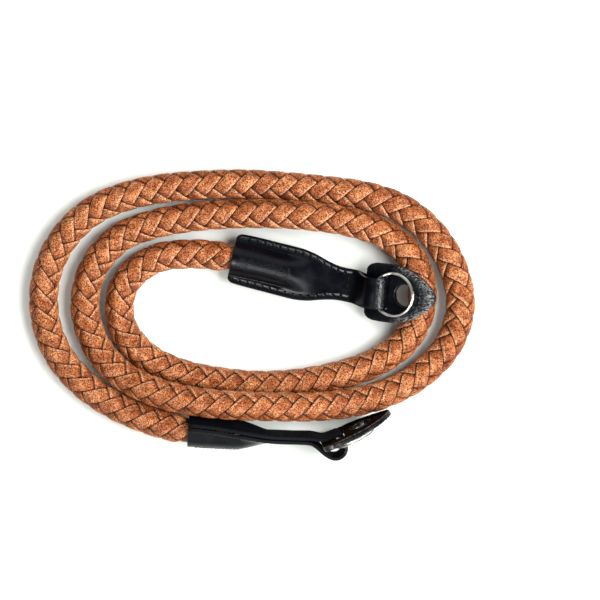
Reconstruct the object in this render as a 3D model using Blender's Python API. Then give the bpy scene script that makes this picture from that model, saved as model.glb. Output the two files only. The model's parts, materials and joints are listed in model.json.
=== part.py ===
"""Camera strap: a round braided leather cord that lies coiled on a surface, with the same fittings at both ends.

Each end has a leather tab, which is one strip folded back on itself. Its two leaves hold the cord's end between
them, and its fold makes a loop that carries a leather guard and a split ring. End A lies on its back with its
grain up. End B stands on its edge.

Lengths here are in millimetres and angles in degrees, and meshes are written in metres. The strap lies on z = 0.
"""
import math

import bmesh
import bpy
from mathutils import Matrix, Vector

MM = 0.001
GAP = 0.3

# The braided cord.
CORD_DIAMETER = 10.8
CORD_MOUTH_DIAMETER = 8.6
CORD_TIP_DIAMETER = 7.8
CORD_IN_SOCKET = 17.0
CORD_NARROWS_OVER = 4.0
CORD_POINTS = 80

# The tab: one strip of leather, folded at the loop.
LEATHER = 1.3
TAB_WIDTH = 19.0
NECK_WIDTH = 12.2
LOOP_WIDTH = 11.4
TAB_LENGTH = 44.8
SOCKET_GAP = 0.45
SOCKET_TAPER = 18.0
FLANGE_REACH = 1.2
LEAF_GAP = 0.3

# The guard: a flat leather plate with a slot for the loop and a hole for the camera's lug.
GUARD_LENGTH = 27.6
GUARD_WIDTH = 21.4
GUARD_THICKNESS = 2.0
BAR_WIDTH = 5.8
LUG_HOLE_DIAMETER = 8.0
LUG_HOLE_FROM_BASE = 15.8
GUARD_CURL_LENGTH = 8.6

# The split ring: two turns of flat wire, one on the other.
RING_DIAMETER = 15.6
WIRE_WIDTH = 1.0
WIRE_THICKNESS = 0.75
TURN_GAP = 0.1
RING_STEP_ANGLE = 26.0
RING_SIDES_PER_TURN = 40
WIRE_FLAT = 0.6
PIVOT_ON_BAR = 0.7

# The loop's room for the ring to swing in, about a pivot just ahead of the wire's middle.
RING_BACK_OF_PIVOT = 0.15
SWING_CLEARANCE = 0.22

# Where the cord runs from one tab's mouth to the other's: x, y and z of its centre line.
# The second turn rides up on its neighbours along the top and the bottom of the coil.
CORD_ROUTE = (
    (-21.8, 20.5, 5.8), (-36.0, 18.4, 5.5), (-46.7, 9.0, 5.4), (-47.7, -5.0, 5.4),
    (-39.2, -16.5, 5.4), (-26.3, -23.0, 5.4), (-12.1, -26.1, 5.4), (2.3, -27.5, 5.4), (16.8, -26.7, 5.4),
    (31.0, -24.0, 5.4), (44.7, -19.3, 5.4), (56.2, -10.8, 5.4), (62.1, 2.3, 5.4), (59.9, 16.3, 5.5),
    (50.1, 26.7, 6.6), (36.8, 31.8, 8.8), (22.5, 34.1, 10.1), (8.1, 35.1, 9.4), (-6.3, 35.1, 7.4),
    (-20.6, 34.1, 5.8), (-34.9, 31.6, 5.4), (-48.3, 26.3, 5.4), (-57.8, 15.5, 5.4), (-61.0, 1.5, 5.4),
    (-57.2, -12.3, 6.2), (-48.0, -23.0, 8.7), (-35.4, -29.6, 11.6), (-21.6, -33.0, 14.1), (-7.2, -34.5, 15.0),
    (7.2, -35.0, 13.9), (21.6, -35.1, 11.9), (35.7, -33.8, 8.8), (49.4, -30.1, 6.2), (62.0, -23.0, 5.4),
    (71.8, -12.4, 5.4), (76.1, 1.3, 5.4), (73.4, 15.4, 5.4), (66.0, 27.8, 5.4), (54.8, 37.0, 5.4),
    (41.2, 41.7, 5.4), (26.8, 43.7, 5.4), (12.4, 45.1, 5.4), (-2.1, 46.0, 5.4), (-16.6, 45.7, 5.4),
    (-31.0, 44.6, 5.4), (-45.2, 41.8, 5.4), (-58.5, 36.0, 5.4), (-68.9, 26.0, 5.4), (-75.0, 12.9, 5.4),
    (-75.8, -1.4, 5.4), (-71.3, -15.1, 5.4), (-62.2, -26.3, 5.4), (-50.3, -34.5, 6.2), (-37.1, -40.1, 8.3),
)

# The middle of the whole strap's outline and its lowest height, among the places given here.
MIDDLE = (-0.005, -1.775, -0.02)

# How each end lies: where its mouth, its neck's end and its guard's base are, and how they are turned there.
# Headings turn from +X, a pitch lifts the far end, a roll lifts the left side.
END_A = {
    "name": "a",
    "mouth": ((-7.3, 19.2, 6.25), (-12.8, 0.0, 0.0)),
    "neck": ((36.3, 8.9, 5.0), (-10.0, 2.0, 5.0)),
    "guard": ((41.7, 7.3, 5.7), (-8.0, 25.0, 9.5)),
    "loop_starts_at": 115.0,
    "loop_behind_bar": (0.5, 0.0),
    "ring_ends_at": 110.0,
    "curl": 20.0,
}
END_B = {
    "name": "b",
    "mouth": ((-23.2, -43.9, 9.8), (-3.7, 0.0, 81.0)),
    "neck": ((20.4, -46.4, 10.3), (0.0, 0.0, 101.0)),
    "guard": ((25.5, -49.1, 11.0), (25.0, 0.0, 101.0)),
    "loop_starts_at": 148.0,
    "loop_behind_bar": (0.6,),
    "ring_ends_at": 250.0,
    "curl": 8.0,
}

# Outline of a tab leaf: share of the tab's length, and half its width as a share of the width that it follows.
TAB_OUTLINE = (
    (0.0, 0.40, "tab"),
    (0.012, 0.45, "tab"),
    (0.035, 0.48, "tab"),
    (0.08, 0.495, "tab"),
    (0.30, 0.495, "tab"),
    (0.56, 0.50, "tab"),
    (0.66, 0.465, "tab"),
    (0.75, 0.40, "tab"),
    (0.83, 0.535, "neck"),
    (0.91, 0.49, "neck"),
    (1.0, 0.50, "neck"),
)
# Outline of a guard: share of its length, and half its width as a share of its width.
GUARD_OUTLINE = (
    (0.0, 0.38),
    (0.02, 0.43),
    (0.06, 0.47),
    (0.12, 0.495),
    (0.25, 0.50),
    (0.40, 0.50),
    (0.53, 0.475),
    (0.62, 0.44),
    (0.70, 0.395),
    (0.78, 0.335),
    (0.86, 0.26),
    (0.92, 0.185),
    (0.97, 0.11),
    (1.0, 0.035),
)
LEAF_ROWS = 22
ARC_ANGLES = (0.0, 22.0, 42.0, 60.0)
LOOP_STEPS = 8
BRIDGE_ROWS = 4
CURL_STEPS = 4
HOLE_SIDES = 32
SPLINE_STEPS = 24


def placed(x, y, z):
    """Return a place in the strap's own frame, whose origin is under the middle of its outline."""
    return Vector((x - MIDDLE[0], y - MIDDLE[1], z - MIDDLE[2]))


def frame_of(end, section):
    """Return the frame of an end's section: x ahead along its heading, y to its left, z out of its front."""
    position, angles = end[section]
    heading, pitch, roll = (math.radians(angle) for angle in angles)
    ahead = Vector((
        math.cos(pitch) * math.cos(heading),
        math.cos(pitch) * math.sin(heading),
        math.sin(pitch),
    ))
    level = Vector((-math.sin(heading), math.cos(heading), 0.0))
    left = math.cos(roll) * level + math.sin(roll) * ahead.cross(level)
    front = ahead.cross(left)
    matrix = Matrix((ahead, left, front)).transposed().to_4x4()
    matrix.translation = placed(*position)
    return matrix


def smooth_value(table, share):
    """Read a value from a table of (share, value) rows, smoothly between the rows."""
    for (start, first), (stop, last) in zip(table, table[1:]):
        if share <= stop:
            t = (share - start) / (stop - start)
            return first + (last - first) * t
    return table[-1][1]


def hermite(start, start_tangent, stop, stop_tangent, t):
    """Return a point on the cubic curve between two points with the tangents given there."""
    return (
        start * (2 * t ** 3 - 3 * t ** 2 + 1)
        + start_tangent * (t ** 3 - 2 * t ** 2 + t)
        + stop * (3 * t ** 2 - 2 * t ** 3)
        + stop_tangent * (t ** 3 - t ** 2)
    )


def spline_points(points, count):
    """Return evenly spaced points on a smooth curve through the points given."""
    dense = []
    padded = [2 * points[0] - points[1]] + list(points) + [2 * points[-1] - points[-2]]
    for before, start, stop, after in zip(padded, padded[1:], padded[2:], padded[3:]):
        for step in range(SPLINE_STEPS):
            t = step / SPLINE_STEPS
            dense.append(hermite(start, (stop - before) / 2, stop, (after - start) / 2, t))
    dense.append(points[-1])
    lengths = [0.0]
    for start, stop in zip(dense, dense[1:]):
        lengths.append(lengths[-1] + (stop - start).length)
    even = []
    index = 0
    for number in range(count):
        target = lengths[-1] * number / (count - 1)
        while index < len(dense) - 2 and lengths[index + 1] < target:
            index += 1
        t = (target - lengths[index]) / (lengths[index + 1] - lengths[index])
        even.append(dense[index].lerp(dense[index + 1], t))
    return even


def make_material(name, colour, roughness, metallic=0.0):
    """Return a plain Principled material."""
    material = bpy.data.materials.new(name)
    material.use_nodes = True
    shader = material.node_tree.nodes["Principled BSDF"]
    shader.inputs["Base Color"].default_value = (*colour, 1.0)
    shader.inputs["Roughness"].default_value = roughness
    shader.inputs["Metallic"].default_value = metallic
    return material


def add_object(name, data, material, matrix=None):
    """Link a mesh or curve as an object, at the frame given in millimetres."""
    piece = bpy.data.objects.new(name, data)
    data.materials.append(material)
    bpy.context.scene.collection.objects.link(piece)
    if matrix is not None:
        in_metres = matrix.copy()
        in_metres.translation = matrix.translation * MM
        piece.matrix_world = in_metres
    return piece


def mesh_from_bmesh(name, shape):
    """Write a bmesh in metres to a new mesh with its faces pointing out."""
    bmesh.ops.recalc_face_normals(shape, faces=shape.faces)
    bmesh.ops.scale(shape, vec=(MM, MM, MM), verts=shape.verts)
    mesh = bpy.data.meshes.new(name)
    shape.to_mesh(mesh)
    shape.free()
    return mesh


def tab_spine(end, depth):
    """Return the point and the left direction of a tab's middle line at a distance from its mouth."""
    start, stop = frame_of(end, "mouth"), frame_of(end, "neck")
    t = depth / TAB_LENGTH
    point = hermite(
        start.translation, start.col[0].xyz * TAB_LENGTH,
        stop.translation, stop.col[0].xyz * TAB_LENGTH, t,
    )
    blend = t * t * (3 - 2 * t)
    left = start.col[1].xyz.lerp(stop.col[1].xyz, blend).normalized()
    return point, left


def tab_direction(end, depth):
    """Return the direction of a tab's middle line."""
    step = 0.05
    return (tab_spine(end, depth + step)[0] - tab_spine(end, depth - step)[0]).normalized()


def cord_diameter(depth):
    """Return the cord's diameter at a depth inside a tab's mouth, or at a negative depth outside it."""
    if depth >= 0.0:
        share = min(depth / CORD_IN_SOCKET, 1.0)
        return CORD_MOUTH_DIAMETER + (CORD_TIP_DIAMETER - CORD_MOUTH_DIAMETER) * share
    share = min(-depth / CORD_NARROWS_OVER, 1.0)
    return CORD_MOUTH_DIAMETER + (CORD_DIAMETER - CORD_MOUTH_DIAMETER) * share


def make_cord(material):
    """Build the braided cord as a tube along its route, gripped at both ends by the tabs."""
    inside = (CORD_IN_SOCKET, CORD_IN_SOCKET / 2)
    between = [END_A["mouth"][0], *CORD_ROUTE, END_B["mouth"][0]]
    free = spline_points([placed(*point) for point in between], CORD_POINTS - 2 * len(inside) - 2)
    route = [(tab_spine(END_A, depth)[0], depth) for depth in inside]
    route.append((free[0], 0.0))
    route.append((near_mouth(free), -CORD_NARROWS_OVER))
    route += [(point, -CORD_DIAMETER) for point in free[1:-1]]
    route.append((near_mouth(free[::-1]), -CORD_NARROWS_OVER))
    route.append((free[-1], 0.0))
    route += [(tab_spine(END_B, depth)[0], depth) for depth in reversed(inside)]
    curve = bpy.data.curves.new("braided_cord", "CURVE")
    curve.dimensions = "3D"
    curve.bevel_depth = CORD_DIAMETER / 2 * MM
    curve.bevel_resolution = 4
    curve.use_fill_caps = True
    spline = curve.splines.new("POLY")
    spline.points.add(len(route) - 1)
    for point, (place, depth) in zip(spline.points, route):
        point.co = (*(place * MM), 1.0)
        point.radius = cord_diameter(depth) / CORD_DIAMETER
    return add_object("braided_cord", curve, material)


def near_mouth(route):
    """Return the point of a route just outside its first point, where the cord has its full diameter."""
    start, following = route[0], route[1]
    return start.lerp(following, CORD_NARROWS_OVER / (following - start).length)


def tab_half_width(share):
    """Return half the width of a tab leaf at a share of its length."""
    widths = {"tab": TAB_WIDTH, "neck": NECK_WIDTH}
    return smooth_value([(row[0], row[1] * widths[row[2]]) for row in TAB_OUTLINE], share)


def leaf_section(depth, half_width):
    """Return the (left, front) places of a leaf's middle surface across the tab, from its right edge to its left."""
    flat = (LEAF_GAP + LEATHER) / 2
    radius = cord_diameter(depth) / 2 + SOCKET_GAP + LEATHER / 2
    past_cord = (depth - CORD_IN_SOCKET) / SOCKET_TAPER
    bulge = 1.0 - min(max(past_cord, 0.0), 1.0)
    bulge = bulge * bulge * (3 - 2 * bulge)
    side = [(radius * math.sin(math.radians(angle)), radius * math.cos(math.radians(angle))) for angle in ARC_ANGLES]
    last_left, last_front = side[-1]
    slope = math.tan(math.radians(ARC_ANGLES[-1]))
    foot = last_left + (last_front - flat) / slope + FLANGE_REACH / 4
    side.append((min(foot, half_width - FLANGE_REACH), flat))
    side.append((half_width, flat))
    count = len(side) - 1
    blended = []
    for number, (left, front) in enumerate(side):
        even = half_width * number / count
        blended.append((even + (left - even) * bulge, flat + (front - flat) * bulge))
    return [(-left, front) for left, front in reversed(blended[1:])] + blended


def loop_path(end):
    """Return the (ahead, front) places of the loop's middle surface in the guard's frame, front leaf first.

    The front leaf bulges over the ring's wire, goes down through the guard's slot and returns behind the bar.
    """
    pivot_ahead, pivot_front = ring_pivot()
    radius = swing_radius() + LEATHER / 2
    places = []
    for number in range(LOOP_STEPS + 1):
        turn = math.radians(end["loop_starts_at"] * (1 - number / LOOP_STEPS))
        places.append((pivot_ahead + radius * math.cos(turn), pivot_front + radius * math.sin(turn)))
    behind = -(GUARD_THICKNESS / 2 + GAP + LEATHER / 2)
    turn_radius = LEATHER / 2 + GUARD_THICKNESS / 2
    centre = (pivot_ahead + radius - turn_radius, behind + turn_radius)
    for angle in (0, -30, -60, -90):
        turn = math.radians(angle)
        places.append((centre[0] + turn_radius * math.cos(turn), centre[1] + turn_radius * math.sin(turn)))
    for share in end["loop_behind_bar"]:
        places.append((BAR_WIDTH * share, behind))
    return places


def ring_height():
    """Return the height of both turns of the wire."""
    return 2 * WIRE_THICKNESS + TURN_GAP


def swing_radius():
    """Return the radius about the ring's pivot that the wire sweeps inside the loop, with its clearance."""
    radius = RING_DIAMETER / 2
    inner = radius - WIRE_WIDTH / 2
    far = radius - RING_BACK_OF_PIVOT - math.sqrt(inner ** 2 - (LOOP_WIDTH / 2) ** 2)
    return math.hypot(far, (WIRE_THICKNESS + TURN_GAP) / 2) + SWING_CLEARANCE


def ring_pivot():
    """Return the (ahead, front) place of the ring's pivot in the guard's frame."""
    corner = math.hypot(RING_BACK_OF_PIVOT + WIRE_WIDTH * WIRE_FLAT / 2, ring_height() / 2)
    return BAR_WIDTH * PIVOT_ON_BAR, GUARD_THICKNESS / 2 + SWING_CLEARANCE + corner


def slot_span():
    """Return where the guard's slot starts and stops, from its base."""
    right = ring_pivot()[0] + swing_radius() + LEATHER
    return BAR_WIDTH, right + GAP


def row_of(point, left, front, places):
    """Return the points of one row across a leaf."""
    return [point + left * across + front * out for across, out in places]


def make_tab(end, material):
    """Build an end's tab: a strip of leather from the mouth, round the loop and back to the mouth."""
    upper = []
    for number in range(LEAF_ROWS):
        share = number / (LEAF_ROWS - 1)
        share = share ** 1.5 if number < 4 else share
        depth = share * TAB_LENGTH
        point, left = tab_spine(end, depth)
        front = tab_direction(end, depth).cross(left).normalized()
        upper.append((point, left, front, leaf_section(depth, tab_half_width(share))))
    rows = [row_of(*row) for row in upper]
    guard = frame_of(end, "guard")
    stop = frame_of(end, "neck")
    ahead, left, front = (guard.col[axis].xyz for axis in range(3))
    columns = len(rows[0])
    across = [LOOP_WIDTH * (number / (columns - 1) - 0.5) for number in range(columns)]
    loop = []
    for place_ahead, place_front in loop_path(end):
        middle = guard.translation + ahead * place_ahead + front * place_front
        loop.append([middle + left * offset for offset in across])
    back = [row_of(point, left_, front_, [(v, -w) for v, w in places]) for point, left_, front_, places in upper]
    back.reverse()
    rows += bridge_rows(rows[-1], stop.col[0].xyz, loop[0], (loop[1][0] - loop[0][0]).normalized())
    rows += loop
    rows += bridge_rows(loop[-1], (loop[-1][0] - loop[-2][0]).normalized(), back[0], -stop.col[0].xyz)
    rows += back
    origin = frame_of(end, "mouth")
    inverse = origin.inverted()
    shape = bmesh.new()
    grid = [[shape.verts.new(inverse @ point) for point in row] for row in rows]
    for lower, higher in zip(grid, grid[1:]):
        for index in range(columns - 1):
            shape.faces.new((lower[index], lower[index + 1], higher[index + 1], higher[index]))
    mesh = mesh_from_bmesh("end_tab_" + end["name"], shape)
    mesh.shade_smooth()
    tab = add_object("end_tab_" + end["name"], mesh, material, origin)
    solidify = tab.modifiers.new("Leather", "SOLIDIFY")
    solidify.thickness = LEATHER * MM
    solidify.offset = 0.0
    solidify.use_even_offset = True
    return tab


def bridge_rows(first, first_direction, last, last_direction):
    """Return rows on smooth curves that lead from one row of a leaf to another."""
    reach = (last[len(last) // 2] - first[len(first) // 2]).length
    rows = []
    for number in range(1, BRIDGE_ROWS + 1):
        t = number / (BRIDGE_ROWS + 1)
        rows.append([
            hermite(start, first_direction * reach, stop, last_direction * reach, t)
            for start, stop in zip(first, last)
        ])
    return rows


def prism(name, outline, half_height):
    """Return a mesh object of an outline in the plane, extruded both ways, to cut or to be cut."""
    shape = bmesh.new()
    face = shape.faces.new([shape.verts.new((x, y, -half_height)) for x, y in outline])
    raised = bmesh.ops.extrude_face_region(shape, geom=[face])["geom"]
    corners = [item for item in raised if isinstance(item, bmesh.types.BMVert)]
    bmesh.ops.translate(shape, vec=(0.0, 0.0, 2 * half_height), verts=corners)
    return mesh_from_bmesh(name, shape)


def guard_outline():
    """Return the guard's outline, from its base round its tip."""
    side = [(share * GUARD_LENGTH, half * GUARD_WIDTH) for share, half in GUARD_OUTLINE]
    return [(x, -y) for x, y in side] + [(x, y) for x, y in reversed(side)]


def slot_outline():
    """Return the outline of the slot that the loop goes through."""
    start, stop = slot_span()
    half = LOOP_WIDTH / 2 + GAP
    return [(start, -half), (stop, -half), (stop, half), (start, half)]


def circle_outline(centre, radius, count):
    """Return the points of a circle."""
    turns = [2 * math.pi * number / count for number in range(count)]
    return [(centre + radius * math.cos(turn), radius * math.sin(turn)) for turn in turns]


def add_cut(piece, name, mesh):
    """Cut a piece with a hidden cutter that lies in the piece's frame."""
    cutter = bpy.data.objects.new(name, mesh)
    bpy.context.scene.collection.objects.link(cutter)
    cutter.hide_render = True
    cutter.display_type = "WIRE"
    cutter.matrix_world = piece.matrix_world
    cut = piece.modifiers.new(name, "BOOLEAN")
    cut.object = cutter
    cut.operation = "DIFFERENCE"
    cut.solver = "EXACT"


def make_guard(end, material):
    """Build an end's guard: a flat plate with a slot and a hole, whose tip curls back."""
    name = "guard_" + end["name"]
    shape = bmesh.new()
    shape.from_mesh(prism(name, guard_outline(), GUARD_THICKNESS / 2))
    bmesh.ops.scale(shape, vec=(1 / MM, 1 / MM, 1 / MM), verts=shape.verts)
    curl_start = GUARD_LENGTH - GUARD_CURL_LENGTH
    for number in range(CURL_STEPS):
        place = curl_start + GUARD_CURL_LENGTH * number / CURL_STEPS
        everything = shape.verts[:] + shape.edges[:] + shape.faces[:]
        bmesh.ops.bisect_plane(shape, geom=everything, plane_co=(place, 0, 0), plane_no=(1, 0, 0), dist=1e-5)
    radius = GUARD_CURL_LENGTH / math.radians(end["curl"])
    for vertex in shape.verts:
        x, y, z = vertex.co
        if x > curl_start:
            turn = (x - curl_start) / radius
            x = curl_start + (radius + z) * math.sin(turn)
            z = (radius + z) * math.cos(turn) - radius
            vertex.co = (x, y, z)
    guard = add_object(name, mesh_from_bmesh(name, shape), material, frame_of(end, "guard"))
    deep = GUARD_THICKNESS
    add_cut(guard, "cut_slot_" + end["name"], prism("cut_slot", slot_outline(), deep))
    hole = circle_outline(LUG_HOLE_FROM_BASE, LUG_HOLE_DIAMETER / 2, HOLE_SIDES)
    add_cut(guard, "cut_hole_" + end["name"], prism("cut_hole", hole, deep))
    return guard


def make_ring(end, material):
    """Build an end's split ring: two turns of flat wire that lie in the loop, about their pivot."""
    radius = RING_DIAMETER / 2
    rise = WIRE_THICKNESS + TURN_GAP
    step = math.radians(RING_STEP_ANGLE)
    half_width, half_height = WIRE_WIDTH / 2, WIRE_THICKNESS / 2
    section = [
        (half_width, 0.0), (half_width * WIRE_FLAT, half_height), (-half_width * WIRE_FLAT, half_height),
        (-half_width, 0.0), (-half_width * WIRE_FLAT, -half_height), (half_width * WIRE_FLAT, -half_height),
    ]
    centre = radius - RING_BACK_OF_PIVOT
    total = 4 * math.pi - step
    count = 2 * RING_SIDES_PER_TURN
    turn_start = math.radians(end["ring_ends_at"])
    shape = bmesh.new()
    rows = []
    for number in range(count + 1):
        angle = step / 2 + total * number / count
        share = min(max((angle - (2 * math.pi - step / 2)) / step, 0.0), 1.0)
        height = rise * (share * share * (3 - 2 * share) - 0.5)
        turn = turn_start + angle
        outward = Vector((math.cos(turn), math.sin(turn), 0.0))
        row = []
        for out, up in section:
            place = Vector((centre, 0.0, height + up)) + outward * (radius + out)
            row.append(shape.verts.new(place))
        rows.append(row)
    for first, last in zip(rows, rows[1:]):
        for index in range(len(section)):
            following = (index + 1) % len(section)
            shape.faces.new((first[index], first[following], last[following], last[index]))
    shape.faces.new(rows[0])
    shape.faces.new(rows[-1])
    mesh = mesh_from_bmesh("ring_" + end["name"], shape)
    mesh.shade_smooth()
    guard = frame_of(end, "guard")
    pivot_ahead, pivot_front = ring_pivot()
    matrix = guard.copy()
    matrix.translation = guard @ Vector((pivot_ahead, 0.0, pivot_front))
    return add_object("ring_" + end["name"], mesh, material, matrix)


def main():
    """Build the strap."""
    for piece in list(bpy.data.objects):
        bpy.data.objects.remove(piece)
    tan = make_material("tan_braided_leather", (0.50, 0.20, 0.08), 0.55)
    black = make_material("black_tab_leather", (0.012, 0.012, 0.015), 0.35)
    guard_black = make_material("black_guard_leather", (0.02, 0.018, 0.02), 0.45)
    steel = make_material("ring_steel", (0.75, 0.75, 0.74), 0.2, 1.0)
    make_cord(tan)
    for end in (END_A, END_B):
        make_tab(end, black)
        make_guard(end, guard_black)
        make_ring(end, steel)


main()
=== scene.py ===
"""Looks of a braided leather camera strap that lies loosely coiled.

Lengths in the classes are millimetres, and angles are degrees. Meshes are written in metres, in the strap's
own frame: x along the coil, y across it and z up, with the surface at z = 0.
"""

import json
import logging
import math
import random
from collections.abc import Iterator, Sequence
from contextlib import contextmanager
from dataclasses import dataclass
from enum import Enum
from functools import partial, reduce

import bmesh
import bpy
import numpy as np
from mathutils import Matrix, Vector, noise
from mathutils.bvhtree import BVHTree


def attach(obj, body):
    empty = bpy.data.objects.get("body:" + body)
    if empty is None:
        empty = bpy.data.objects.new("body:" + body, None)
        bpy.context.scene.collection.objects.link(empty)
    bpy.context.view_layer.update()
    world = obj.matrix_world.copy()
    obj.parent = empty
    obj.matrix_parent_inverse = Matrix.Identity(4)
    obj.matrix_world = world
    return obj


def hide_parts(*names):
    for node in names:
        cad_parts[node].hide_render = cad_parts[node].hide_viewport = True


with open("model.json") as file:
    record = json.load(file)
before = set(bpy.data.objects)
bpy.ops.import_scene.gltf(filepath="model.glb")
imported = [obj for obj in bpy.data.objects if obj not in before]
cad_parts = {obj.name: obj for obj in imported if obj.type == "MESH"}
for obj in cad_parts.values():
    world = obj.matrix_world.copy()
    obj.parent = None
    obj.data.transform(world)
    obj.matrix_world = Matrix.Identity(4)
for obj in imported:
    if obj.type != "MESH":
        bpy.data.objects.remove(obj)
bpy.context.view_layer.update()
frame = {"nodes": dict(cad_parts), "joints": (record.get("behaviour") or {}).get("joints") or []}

LOG = logging.getLogger("camera_strap")
MM = 0.001
MIDDLE = Vector((-0.005, -1.775, -0.02))
CORD_LIES = 5.4
# A sharper turn than this is an edge.
SHARP = math.radians(50)

Material = bpy.types.Material
Piece = bpy.types.Object
Socket = bpy.types.NodeSocket
Number = float | np.ndarray
# A colour, a place or three angles.
Triple = tuple[float, float, float]
# A place on a tab: how far past its mouth, and how far to the left of its middle.
Spot = tuple[float, float]
# A pattern, and how far it raises a surface in millimetres.
Relief = tuple[Socket, float]

# The cord's centre line between the tabs' mouths, with its height where it doesn't lie on the surface.
CORD_ROUTE = (
    (-21.8, 20.5, 5.8), (-36.0, 18.4, 5.5), (-46.7, 9.0), (-47.7, -5.0), (-39.2, -16.5), (-26.3, -23.0),
    (-12.1, -26.1), (2.3, -27.5), (16.8, -26.7), (31.0, -24.0), (44.7, -19.3), (56.2, -10.8), (62.1, 2.3),
    (59.9, 16.3, 5.5), (50.1, 26.7, 6.6), (36.8, 31.8, 8.8), (22.5, 34.1, 10.1), (8.1, 35.1, 9.4),
    (-6.3, 35.1, 7.4), (-20.6, 34.1, 5.8), (-34.9, 31.6), (-48.3, 26.3), (-57.8, 15.5), (-61.0, 1.5),
    (-57.2, -12.3, 6.2), (-48.0, -23.0, 8.7), (-35.4, -29.6, 11.6), (-21.6, -33.0, 14.1), (-7.2, -34.5, 15.0),
    (7.2, -35.0, 13.9), (21.6, -35.1, 11.9), (35.7, -33.8, 8.8), (49.4, -30.1, 6.2), (62.0, -23.0),
    (71.8, -12.4), (76.1, 1.3), (73.4, 15.4), (66.0, 27.8), (54.8, 37.0), (41.2, 41.7), (26.8, 43.7),
    (12.4, 45.1), (-2.1, 46.0), (-16.6, 45.7), (-31.0, 44.6), (-45.2, 41.8), (-58.5, 36.0), (-68.9, 26.0),
    (-75.0, 12.9), (-75.8, -1.4), (-71.3, -15.1), (-62.2, -26.3), (-50.3, -34.5, 6.2), (-37.1, -40.1, 8.3),
)


class Body(Enum):
    """The bodies that the pieces ride on."""

    STRAP = "strap"
    RING_A = "ring_a"
    RING_B = "ring_b"


class Slot(Enum):
    """The record's material slots."""

    BRAID = "tan_braided_leather"
    TAB = "black_tab_leather"
    GUARD = "black_guard_leather"
    STEEL = "ring_steel"


class Lay(Enum):
    """Which way a strip winds round the cord as it goes along it."""

    CLOCKWISE = 1
    ANTICLOCKWISE = -1


def placed(x: float, y: float, z: float = CORD_LIES) -> Vector:
    """Return a place given in millimetres in the strap's own frame, in metres."""
    return (Vector((x, y, z)) - MIDDLE) * MM


def eased(value: Number, low: float, high: float) -> Number:
    """Return how far a value is from low to high, held between 0 and 1, with an easy start and stop."""
    held = np.clip((value - low) / (high - low), 0.0, 1.0)
    return held * held * (3.0 - 2.0 * held)


def hermite(start: Vector, start_tangent: Vector, stop: Vector, stop_tangent: Vector, t: float) -> Vector:
    """Return the point a share t along the cubic curve between two points with their tangents."""
    begun = start * (2 * t ** 3 - 3 * t ** 2 + 1) + start_tangent * (t ** 3 - 2 * t ** 2 + t)
    return begun + stop * (3 * t ** 2 - 2 * t ** 3) + stop_tangent * (t ** 3 - t ** 2)


def through_points(points: Sequence[Vector], steps: int) -> list[Vector]:
    """Return a dense smooth line through some points.

    Args:
        points: The points that it goes through.
        steps: How many steps each stretch takes.

    Returns:
        The line's points, first and last included.
    """
    padded = [2 * points[0] - points[1], *points, 2 * points[-1] - points[-2]]
    dense = []
    for before, start, stop, after in zip(padded, padded[1:], padded[2:], padded[3:]):
        for step in range(steps):
            dense.append(hermite(start, (stop - before) / 2, stop, (after - start) / 2, step / steps))
    return [*dense, points[-1]]


def lengths_along(points: np.ndarray) -> np.ndarray:
    """Return how far along a line each of its points is."""
    steps = np.linalg.norm(np.diff(points, axis=0), axis=1)
    return np.concatenate(([0.0], np.cumsum(steps)))


def sampled(at: np.ndarray, along: np.ndarray, table: np.ndarray) -> np.ndarray:
    """Return a table's rows at some lengths, from those that it has at the lengths along."""
    return np.stack([np.interp(at, along, column) for column in table.T], axis=1)


def unit(vectors: np.ndarray) -> np.ndarray:
    """Return vectors, a row each, with a length of one."""
    return vectors / np.linalg.norm(vectors, axis=1, keepdims=True)


def activate(piece: Piece) -> None:
    """Select one object alone and make it the active one.

    Args:
        piece: The object.
    """
    bpy.ops.object.select_all(action="DESELECT")
    piece.select_set(True)
    bpy.context.view_layer.objects.active = piece


@contextmanager
def editing(piece: Piece) -> Iterator[None]:
    """Hold a piece in edit mode with all of it selected.

    Args:
        piece: The piece.
    """
    activate(piece)
    bpy.ops.object.mode_set(mode="EDIT")
    bpy.ops.mesh.select_all(action="SELECT")
    yield
    bpy.ops.object.mode_set(mode="OBJECT")


def apply_modifier(piece: Piece, kind: str, **values: object) -> None:
    """Add a modifier to a piece and apply it.

    Args:
        piece: The piece.
        kind: The modifier's type.
        **values: Its settings.
    """
    modifier = piece.modifiers.new(kind.title(), kind)
    for name, value in values.items():
        setattr(modifier, name, value)
    activate(piece)
    bpy.ops.object.modifier_apply(modifier=modifier.name)


def linked(name: str, data: bpy.types.ID) -> Piece:
    """Link a new object, which lies at the origin.

    Args:
        name: The object's name.
        data: Its mesh, camera or light.

    Returns:
        The object.
    """
    piece = bpy.data.objects.new(name, data)
    bpy.context.scene.collection.objects.link(piece)
    return piece


def copy_of_node(node: str, name: str) -> Piece:
    """Return a copy of a CAD node with its loose triangles merged into one surface of quads.

    Args:
        node: The CAD node's name.
        name: The new piece's name.

    Returns:
        The copy, which lies at the origin.
    """
    piece = linked(name, frame["nodes"][node].data.copy())
    piece.data.name = name
    piece.data.materials.clear()
    with editing(piece):
        bpy.ops.mesh.remove_doubles(threshold=1e-6)
        bpy.ops.mesh.tris_convert_to_quads(face_threshold=math.radians(40), shape_threshold=math.radians(60))
    return piece


def carry(piece: Piece, **values: Sequence[float]) -> None:
    """Let a piece's points carry numbers that its finish reads.

    Args:
        piece: The piece.
        **values: The name of each kind of number, and the number at each point.
    """
    for name, numbers in values.items():
        layer = piece.data.attributes.new(name, "FLOAT", "POINT")
        layer.data.foreach_set("value", np.asarray(numbers, dtype=np.float32))


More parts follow.
